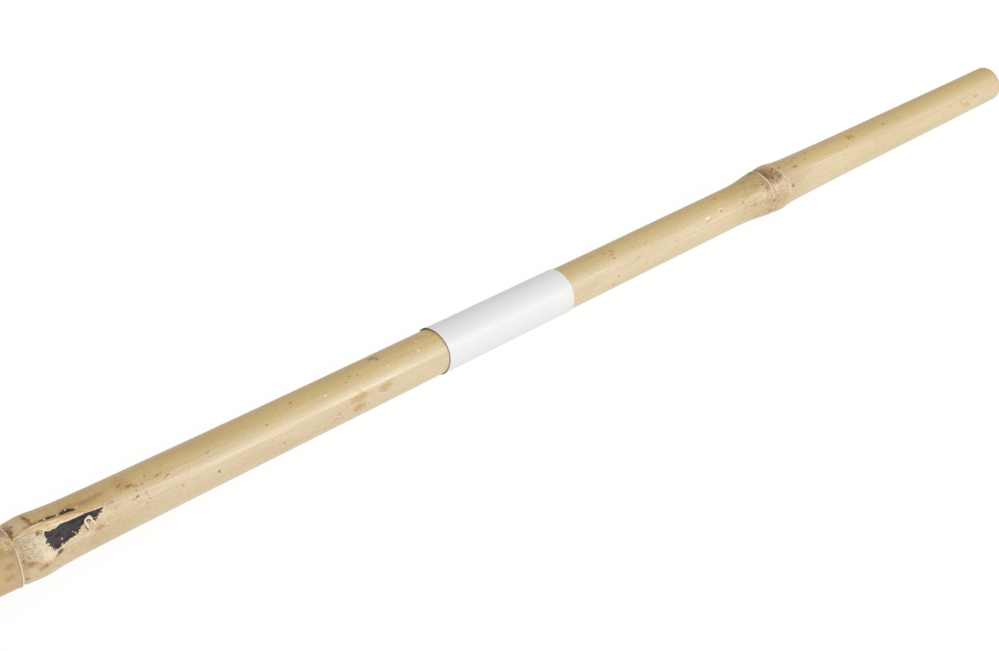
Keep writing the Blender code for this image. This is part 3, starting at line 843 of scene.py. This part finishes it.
class Graph:
    """A material's node tree, with short calls for the nodes that the materials here use. Its colour is
    what has been laid on so far."""

    def __init__(self, name):
        self.material = bpy.data.materials.new(name)
        self.material.use_nodes = True
        self.tree = self.material.node_tree
        self.shader = self.tree.nodes["Principled BSDF"]
        self.solid = self.node("TexCoord").outputs["Object"]
        self.colour = None

    def feed(self, socket, value):
        """Link a socket or set its value. A colour may leave out its alpha."""
        if isinstance(value, bpy.types.NodeSocket):
            self.tree.links.new(value, socket)
        elif socket.type == "RGBA" and len(value) == 3:
            socket.default_value = (*value, 1)
        else:
            socket.default_value = value

    def node(self, kind, sockets=None, **settings):
        made = self.tree.nodes.new("ShaderNode" + kind)
        for key, value in settings.items():
            setattr(made, key, value)
        for key, value in (sockets or {}).items():
            self.feed(made.inputs[key], value)
        return made

    def math(self, operation, first, second=0.0):
        return self.node("Math", {0: first, 1: second}, operation=operation).outputs[0]

    def times(self, first, second):
        return self.math("MULTIPLY", first, second)

    def plus(self, first, second):
        return self.math("ADD", first, second)

    def vector(self, operation, first, second=(0, 0, 0)):
        made = self.node("VectorMath", {0: first, 1: second}, operation=operation)
        return made.outputs["Value" if operation == "LENGTH" else "Vector"]

    def rise(self, value, low, high, start=0.0, end=1.0):
        """A smooth rise from start, where the value is low, to end, where it is high."""
        sockets = {"Value": value, "From Min": low, "From Max": high, "To Min": start, "To Max": end}
        return self.node("MapRange", sockets, interpolation_type="SMOOTHSTEP").outputs[0]

    def near(self, value, middle, outer, inner):
        """1 where the value is within inner of the middle, and 0 from outer on."""
        return self.rise(self.math("ABSOLUTE", self.plus(value, -middle)), outer, inner)

    def mix(self, share, first, second, blend="MIX"):
        made = self.node("Mix", {0: share, 6: first, 7: second}, data_type="RGBA", blend_type=blend)
        return made.outputs[2]

    def coat(self, share, colour):
        """Lay a colour over the material's colour."""
        self.colour = self.mix(share, self.colour, colour)

    def shade(self, share, stops, value):
        """Multiply the material's colour by a ramp's colour."""
        self.colour = self.mix(share, self.colour, self.ramp(value, stops).outputs[0], "MULTIPLY")

    def noise(self, coordinates, detail=2.0, roughness=0.5, output=0):
        sockets = {"Vector": coordinates, "Scale": 1.0, "Detail": detail, "Roughness": roughness}
        return self.node("TexNoise", sockets).outputs[output]

    def grain(self, waves, detail, roughness, output=0):
        """Noise in the object's space, with this many waves in a metre along X, Y and Z."""
        return self.noise(self.vector("MULTIPLY", self.solid, waves), detail, roughness, output)

    def cells(self, waves):
        """Distance to the nearest of scattered points."""
        sockets = {"Vector": self.vector("MULTIPLY", self.solid, waves), "Scale": 1.0}
        return self.node("TexVoronoi", sockets).outputs["Distance"]

    def ramp(self, value, stops):
        made = self.node("ValToRGB", {0: value})
        elements = made.color_ramp.elements
        while len(elements) < len(stops):
            elements.new(0.5)
        for element, (position, colour) in zip(elements, stops):
            element.position = position
        for element, (position, colour) in zip(elements, stops):
            element.color = colour if len(colour) == 4 else (*colour, 1)
        return made

    def attribute(self, name, output="Fac"):
        return self.node("Attribute", attribute_name=name, attribute_type="GEOMETRY").outputs[output]

    def bump(self, height, distance, strength, normal=None):
        sockets = {"Height": height, "Distance": distance, "Strength": strength}
        if normal is not None:
            sockets["Normal"] = normal
        return self.node("Bump", sockets).outputs[0]

    def finish(self, roughness, normal):
        for name, value in (("Base Color", self.colour), ("Roughness", roughness), ("Normal", normal)):
            self.feed(self.shader.inputs[name], value)
        return self.material


# Skin colour round the stem: angle, colour. It is partly the skin's own colour, olive-tan on top and pale straw
# at the sides, and partly painted light and shade: darker underneath (-40 to -10), lightest at about 42 where the
# lamp's highlight lies, and darker in a band behind the top edge (118 to 152).
SKIN_TONES_LIGHT_AND_SHADE = rows("""
-90 .62 .487 .283, -40 .6 .48 .3, -10 .63 .505 .32, 15 .665 .542 .355, 42 .692 .568 .372, 66 .635 .485 .218,
92 .607 .438 .196, 108 .59 .43 .215, 118 .53 .39 .21, 134 .48 .345 .18, 152 .57 .42 .225, 175 .647 .51 .294,
215 .665 .535 .327, 245 .62 .483 .276, 270 .62 .487 .283
""")
# Tint along the stem: X in mm, factor on the skin colour
STEM_TINTS = rows("""
-375 .94 .84 .7, -245 .86 .73 .56, -237.5 .84 .72 .58, -235.5 1 .94 .88, -232 1 .96 .91, -222 .99 .95 .9,
-205 .98 .93 .86, -185 1 .99 .97, 120 1 1 1, 158 .97 .955 .88, 170 .95 .92 .8, 176 .89 .82 .73, 181 .98 .92 .86,
195 .98 .97 .94, 225 .98 .97 .94, 300 .955 .945 .885, 375 .95 .93 .86
""")
WHITE = (1.0, 1.0, 1.0)
# Factors on the skin colour, by the value of a pattern
FIBRE_SHADES = ((0.28, (0.93, 0.915, 0.88)), (0.5, WHITE), (0.72, (1.03, 1.035, 1.05)))
THREAD_SHADES = ((0.3, (0.96, 0.95, 0.93)), (0.55, WHITE), (0.75, (1.02, 1.025, 1.03)))
DAPPLE_SHADES = ((0.34, (0.93, 0.925, 0.865)), (0.5, WHITE), (0.66, (1.03, 1.045, 1.09)))
PATCH_SHADES = ((0.3, (0.94, 0.925, 0.90)), (0.5, WHITE), (0.7, (1.03, 1.035, 1.06)))
# The cream of each node's lip, and how far the noise bends the edges of marks and streaks
LIP_CREAMS = ((0.80, 0.61, 0.45), (0.91, 0.76, 0.59))
MARK_WARP = (2.4, 2.4, 0.0)
STREAK_WARP = (0.0, 1.1, 0.0)


class Skin(Graph):
    """The stem's skin, with its place on the flat map in mm and the patterns that its layers share."""

    def __init__(self):
        super().__init__("bamboo_skin")
        stem = self.node("UVMap", uv_map="stem").outputs[0]
        size = MAP_SPAN / MM
        self.flat = self.vector("ADD", self.vector("MULTIPLY", stem, (size, size, 0)), (BASE_END / MM, 0, 0))
        axes = self.node("SeparateXYZ", {0: self.flat})
        self.along, self.arc = axes.outputs[0], axes.outputs[1]
        self.fibres = self.grain((16, 950, 950), 3.0, 0.55)
        self.fine = self.grain((60, 3000, 3000), 2.0, 0.5)
        self.cloud = self.grain((28, 130, 130), 3.0, 0.55)
        self.blotch = self.grain((380, 620, 620), 3.0, 0.6)
        self.speck = self.grain((900, 1500, 1500), 2.0, 0.6)
        uneven = self.grain((620, 1150, 1150), 2.0, 0.6, output=1)
        self.uneven = self.vector("SUBTRACT", uneven, (0.5, 0.5, 0.5))
        self.patchy = self.rise(self.speck, 0.40, 0.60, 0.45, 1.25)

    def marked(self, layer, warp, outer, inner):
        """How much the marks of one layer cover each spot, with uneven edges."""
        local = self.vector("ADD", self.attribute(layer, "Vector"), self.vector("MULTIPLY", self.uneven, warp))
        return self.rise(self.vector("LENGTH", local), outer, inner)

    def hatching(self, turned, waves, outer, inner):
        """Short strokes across the flat map, turned by this many radians."""
        sockets = {"Vector": self.flat, "Rotation": (0, 0, turned), "Scale": (0.7, waves, 1)}
        return self.rise(self.noise(self.node("Mapping", sockets).outputs[0]), outer, inner)

    def lip_band_and_shade(self, node, cream):
        """A sheath lip: painted shade below it, the cream lip, and painted shade in the groove above it."""
        away = self.plus(self.along, -node["x"] / MM)
        away = self.plus(away, self.times(self.plus(self.blotch, -0.5), 0.55))
        # Painted shade: brown below the raised lip and darker in the groove just above it; the cream between is the
        # lip's own colour
        stops = (
            (0.0, (0.50, 0.36, 0.21, 0.0)), (0.30, (0.42, 0.30, 0.19, 0.30)), (0.362, (0.34, 0.25, 0.17, 0.50)),
            (0.378, (*cream, 0.95)), (0.422, (*cream, 0.95)), (0.440, (0.36, 0.24, 0.15, 0.70)),
            (0.50, (0.36, 0.24, 0.15, 0.38)), (0.62, (0.44, 0.31, 0.19, 0.10)), (1.0, (0.5, 0.36, 0.21, 0.0)),
        )
        band = self.ramp(self.times(self.plus(away, 4.0), 0.1), stops)
        self.coat(self.times(band.outputs[1], self.attribute("lip")), band.outputs[0])


def lay_tones(g):
    """The skin's colour, which changes round the stem and along it, with painted light and shade round the stem,
    and its fine patterns.
    """
    wobble = g.times(g.plus(g.cloud, -0.5), 3.4)
    degrees = g.times(g.plus(g.arc, wobble), 180 / math.pi / (MAP_RADIUS / MM))
    low, size = BASE_END / MM, MAP_SPAN / MM
    # Colour round the stem, with painted shade underneath and behind the top edge, and a painted highlight near 42
    # degrees
    tones_light_and_shade = [((angle - SEAM_ANGLE) / 360, colour) for angle, *colour in SKIN_TONES_LIGHT_AND_SHADE]
    g.colour = g.ramp(g.math("DIVIDE", g.plus(degrees, -SEAM_ANGLE), 360.0), tones_light_and_shade).outputs[0]
    tints = [((x - low) / size, colour) for x, *colour in STEM_TINTS]
    g.shade(1.0, tints, g.math("DIVIDE", g.plus(g.along, -low), size))
    g.shade(0.8, FIBRE_SHADES, g.fibres)
    g.shade(0.7, THREAD_SHADES, g.fine)
    g.shade(1.0, DAPPLE_SHADES, g.speck)
    g.shade(0.8, PATCH_SHADES, g.cloud)


def lay_nodes(g):
    """Dark fibres near the base node, and mottling and crooked lines near the tip node."""
    near_base = g.near(g.along, -250.0, 70, 6)
    g.coat(g.times(g.rise(g.fibres, 0.47, 0.34), g.times(near_base, 0.38)), (0.50, 0.33, 0.16))
    near_tip = g.near(g.along, 176.0, 36, 4)
    g.coat(g.times(g.rise(g.speck, 0.48, 0.60), g.times(near_tip, 0.35)), (0.36, 0.245, 0.12))
    crooked = g.near(g.grain((430, 700, 700), 1.0, 0.5), 0.5, 0.085, 0.015)
    beside_crack = g.near(g.along, -218.0, 34, 8)
    g.coat(g.times(crooked, g.plus(g.times(near_tip, 0.62), g.times(beside_crack, 0.30))), (0.36, 0.24, 0.10))


def lay_marks(g):
    """Streaks, partly a painted highlight, freckles, soft areas, some of them a painted highlight at the tip node's
    ridge, the sheath lips with painted shade beside them, and the marks.
    """
    # Pale streaks: partly worn skin, partly a painted highlight along the lamp's reflection band
    worn = g.times(g.marked("worn", STREAK_WARP, 1.1, 0.2), g.rise(g.fibres, 0.30, 0.62, 0.25, 0.62))
    g.coat(worn, (0.86, 0.76, 0.58))
    lines = g.times(g.marked("lines", STREAK_WARP, 1.1, 0.2), g.rise(g.speck, 0.36, 0.62, 0.2, 0.6))
    g.coat(lines, (0.46, 0.34, 0.20))
    g.coat(g.times(g.rise(g.cells((120, 165, 165)), 0.075, 0.035), 0.5), (0.40, 0.26, 0.11))
    # Pale patches, and a painted highlight along the tip node's ridge at X 186.5 to 188.6
    g.coat(g.times(g.attribute("bleach"), g.rise(g.speck, 0.62, 0.40, 0.5, 1.1)), (0.78, 0.68, 0.52))
    g.coat(g.times(g.attribute("tawny"), g.patchy), (0.50, 0.28, 0.11))
    g.coat(g.times(g.attribute("grime"), g.patchy), (0.19, 0.098, 0.045))
    speckled = g.rise(g.grain((900, 1700, 1700), 1.0, 0.5), 0.54, 0.66)
    g.coat(g.times(g.attribute("rusty"), speckled), (0.36, 0.17, 0.06))
    for node, cream in zip(NODES, LIP_CREAMS):
        g.lip_band_and_shade(node, cream)
    for layer in ("stains", "specks"):
        share = g.times(g.marked(layer, MARK_WARP, 1.2, 0.5), g.attribute(layer + "_colour", "Alpha"))
        share = g.times(share, g.rise(g.speck, 0.30, 0.55, 0.6, 1.0))
        g.coat(share, g.attribute(layer + "_colour", "Color"))


def lay_torn_place(g):
    """Torn fibres, the sliver of skin, and the bare wood and the crack. Returns where the wood is raw."""
    bare, crack, sliver, torn = (g.attribute(name) for name in ("bare", "crack", "sliver", "torn"))
    hatch = g.math("MAXIMUM", g.hatching(0.62, 4.6, 0.47, 0.37), g.hatching(-0.5, 4.2, 0.46, 0.36))
    near_lip = g.rise(g.along, -226.0, -233.0)
    fuzz = g.mix(near_lip, (0.83, 0.71, 0.54), (0.74, 0.59, 0.40))
    fuzz = g.mix(g.times(hatch, g.rise(near_lip, 0.0, 1.0, 0.3, 0.9)), fuzz, (0.26, 0.145, 0.06))
    g.coat(g.times(torn, 0.92), fuzz)
    g.coat(g.times(g.times(g.attribute("grime"), torn), g.patchy), (0.34, 0.19, 0.08))

    strip_grain = g.rise(g.grain((30, 1300, 1300), 2.0, 0.6), 0.36, 0.6)
    g.coat(g.times(sliver, 0.9), g.mix(strip_grain, (0.66, 0.42, 0.19), (0.92, 0.74, 0.49)))
    outlined = g.times(g.rise(sliver, 0.02, 0.2), g.rise(sliver, 0.6, 0.25))
    g.coat(g.times(outlined, g.rise(g.along, -203, -212, 0.2, 0.75)), (0.40, 0.20, 0.08))

    jagged = g.times(g.plus(g.speck, -0.5), 0.5)
    bare = g.plus(bare, jagged)
    crack = g.plus(crack, jagged)
    g.coat(g.times(g.near(bare, -0.28, 0.34, 0.1), g.rise(g.speck, 0.40, 0.58, 0.1, 0.95)), (0.90, 0.72, 0.52))
    g.coat(g.times(g.near(crack, -0.2, 0.45, 0.1), 0.75), (0.42, 0.21, 0.09))
    charred = g.rise(g.grain((260, 900, 900), 3.0, 0.65), 0.34, 0.66)
    coal = g.mix(charred, (0.013, 0.010, 0.012), (0.060, 0.048, 0.054))
    coal = g.mix(g.rise(g.blotch, 0.52, 0.7, 0.0, 0.6), coal, (0.085, 0.050, 0.036))
    coal = g.mix(g.times(g.near(bare, 0.06, 0.24, 0.06), 0.85), coal, (0.030, 0.010, 0.006))
    g.coat(g.rise(bare, -0.03, 0.05), coal)
    g.coat(g.times(g.near(bare, 0.01, 0.17, 0.04), 0.75), (0.10, 0.036, 0.016))
    g.coat(g.rise(crack, -0.12, 0.12), (0.030, 0.014, 0.010))
    g.coat(g.marked("flecks", MARK_WARP, 1.2, 0.7), (0.84, 0.68, 0.52))
    return g.math("MAXIMUM", g.rise(bare, -0.05, 0.1), torn)


def bamboo_skin():
    g = Skin()
    lay_tones(g)
    lay_nodes(g)
    lay_marks(g)
    raw = lay_torn_place(g)
    roughness = g.plus(g.rise(g.fibres, 0.3, 0.7, 0.34, 0.43), g.times(raw, 0.35))
    normal = g.bump(g.plus(g.times(g.fibres, 0.6), g.times(g.fine, 0.4)), 0.10 * MM, 0.5)
    rough = g.times(raw, g.grain((700, 2600, 2600), 3.0, 0.6))
    return g.finish(roughness, g.bump(rough, 0.25 * MM, 0.6, normal))


def end_grain():
    """The sawn wall: pale tan wood with small dark fibre bundles."""
    g = Graph("end_grain")
    bundle = g.rise(g.cells((300, 1700, 1700)), 0.36, 0.16)
    tone = g.grain((200, 260, 260), 3.0, 0.6)
    g.colour = g.mix(tone, (0.66, 0.49, 0.28), (0.80, 0.66, 0.44))
    g.coat(g.times(bundle, 0.7), (0.30, 0.17, 0.07))
    saw = g.grain((100, 300, 2600), 2.0, 0.6)
    return g.finish(g.rise(tone, 0.3, 0.7, 0.72, 0.86), g.bump(g.plus(saw, bundle), 0.12 * MM, 0.5))


def bore_lining():
    """The inside of the stem: a dry, papery lining with faint lengthwise lines."""
    g = Graph("bore_lining")
    lines = g.grain((18, 1300, 1300), 3.0, 0.6)
    stain = g.grain((60, 160, 160), 3.0, 0.6)
    g.colour = g.mix(lines, (0.60, 0.46, 0.28), (0.80, 0.70, 0.52))
    g.coat(g.rise(stain, 0.5, 0.75, 0.0, 0.45), (0.42, 0.29, 0.16))
    return g.finish(g.rise(lines, 0.3, 0.7, 0.8, 0.92), g.bump(lines, 0.15 * MM, 0.5))


def raw_fibre():
    """Loose fibres and the back of peeled skin."""
    g = Graph("raw_fibre")
    lines = g.grain((120, 2400, 2400), 3.0, 0.6)
    stain = g.grain((420, 700, 700), 2.0, 0.6)
    g.colour = g.mix(lines, (0.74, 0.56, 0.36), (0.93, 0.82, 0.65))
    g.coat(g.rise(stain, 0.55, 0.7, 0.0, 0.4), (0.50, 0.32, 0.17))
    return g.finish(g.rise(lines, 0.3, 0.7, 0.6, 0.8), g.bump(lines, 0.06 * MM, 0.5))


def label_paper():
    """Blank coated paper: nearly white, with a faint fibre mottle, and painted shade that greys it towards the
    underside.
    """
    g = Graph("label_paper")
    pulp = g.grain((1500, 1500, 1500), 3.0, 0.65)
    cloud = g.grain((90, 120, 120), 3.0, 0.6)
    g.colour = g.mix(pulp, (0.742, 0.752, 0.754), (0.797, 0.801, 0.790))
    g.coat(g.rise(cloud, 0.55, 0.8, 0.0, 0.25), (0.71, 0.725, 0.735))
    # Painted shade: the paper is multiplied darker from 19 mm down to 5 mm above the floor, greying its underside
    height = g.node("SeparateXYZ", {0: g.solid}).outputs[2]
    g.colour = g.mix(g.rise(height, 19 * MM, 5 * MM, 0.0, 0.95), g.colour, (0.885, 0.88, 0.876), "MULTIPLY")
    grain = g.plus(g.times(pulp, 0.4), g.times(cloud, 1.4))
    return g.finish(g.rise(cloud, 0.3, 0.7, 0.40, 0.47), g.bump(grain, 0.10 * MM, 0.35))


# The floor shines a little by itself, so that it is as pale as the photograph's ground
FLOOR_HALF = 5.0
FLOOR_DROP = 0.05 * MM
FLOOR_GLOW = 0.88


def studio_floor():
    g = Graph("studio_floor")
    tone = g.grain((2, 2, 2), 2.0, 0.5)
    g.feed(g.shader.inputs["Base Color"], g.mix(tone, (0.12, 0.12, 0.12), (0.16, 0.16, 0.16)))
    for name, value in (("Roughness", 0.9), ("Emission Color", WHITE), ("Emission Strength", FLOOR_GLOW)):
        g.feed(g.shader.inputs[name], value)
    return g.material


def make_floor():
    corners = [(x * FLOOR_HALF, y * FLOOR_HALF, 0) for x, y in ((-1, -1), (1, -1), (1, 1), (-1, 1))]
    mesh = bpy.data.meshes.new("floor")
    mesh.from_pydata(corners, [], [(0, 1, 2, 3)])
    mesh.materials.append(studio_floor())
    floor = add("floor", mesh)
    floor.location.z = -FLOOR_DROP


# Even light from all sides, and a lamp in front whose soft reflection lies along the stem's near side
STUDIO_COLOUR = (0.99, 0.99, 1.0, 1.0)
STUDIO_STRENGTH = 0.69
LAMP_COLOUR = (1.0, 0.985, 0.96)
LAMP_SIZE = 0.5
LAMP_ENERGY = 5.2
LAMP_AT = Vector((0.438, -0.938, 0.532))
LAMP_AIM = Vector((-0.1, 0, 0.012))


def make_lights():
    world = bpy.data.worlds.new("studio")
    world.use_nodes = True
    background = world.node_tree.nodes["Background"]
    background.inputs["Color"].default_value = STUDIO_COLOUR
    background.inputs["Strength"].default_value = STUDIO_STRENGTH
    bpy.context.scene.world = world
    lamp = bpy.data.lights.new("key", "AREA")
    lamp.shape = "DISK"
    lamp.size = LAMP_SIZE
    lamp.energy = LAMP_ENERGY
    lamp.color = LAMP_COLOUR
    key = add("key", lamp)
    key.location = LAMP_AT
    key.rotation_mode = "QUATERNION"
    key.rotation_quaternion = (LAMP_AIM - LAMP_AT).to_track_quat("-Z", "Y")


# The view: measured from the stem's edges in the photograph
CAMERA_AT = Vector((-0.40748, -0.46232, 0.41567))
CAMERA_FORWARD = Vector((0.5548, 0.6243, -0.5499)).normalized()
CAMERA_LENS = 59.68
CAMERA_SENSOR = 36.0
CAMERA_CLIP = (0.01, 50)


def make_camera():
    right = Vector((CAMERA_FORWARD.y, -CAMERA_FORWARD.x, 0)).normalized()
    up = right.cross(CAMERA_FORWARD)
    view = bpy.data.cameras.new("camera")
    view.sensor_fit = "HORIZONTAL"
    view.sensor_width = CAMERA_SENSOR
    view.lens = CAMERA_LENS
    view.clip_start, view.clip_end = CAMERA_CLIP
    camera = add("camera", view)
    turned = Matrix((right, up, -CAMERA_FORWARD)).transposed()
    camera.matrix_world = Matrix.Translation(CAMERA_AT) @ turned.to_4x4()
    bpy.context.scene.camera = camera


def main():
    cane = make_cane([bamboo_skin(), end_grain(), bore_lining()])
    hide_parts("cane")
    fibre = raw_fibre()
    make_splinters(fibre)
    make_flake(fibre)
    label = make_label(label_paper())
    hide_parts("label")
    make_floor()
    make_lights()
    make_camera()
    bpy.context.scene.view_settings.view_transform = "Standard"


main()
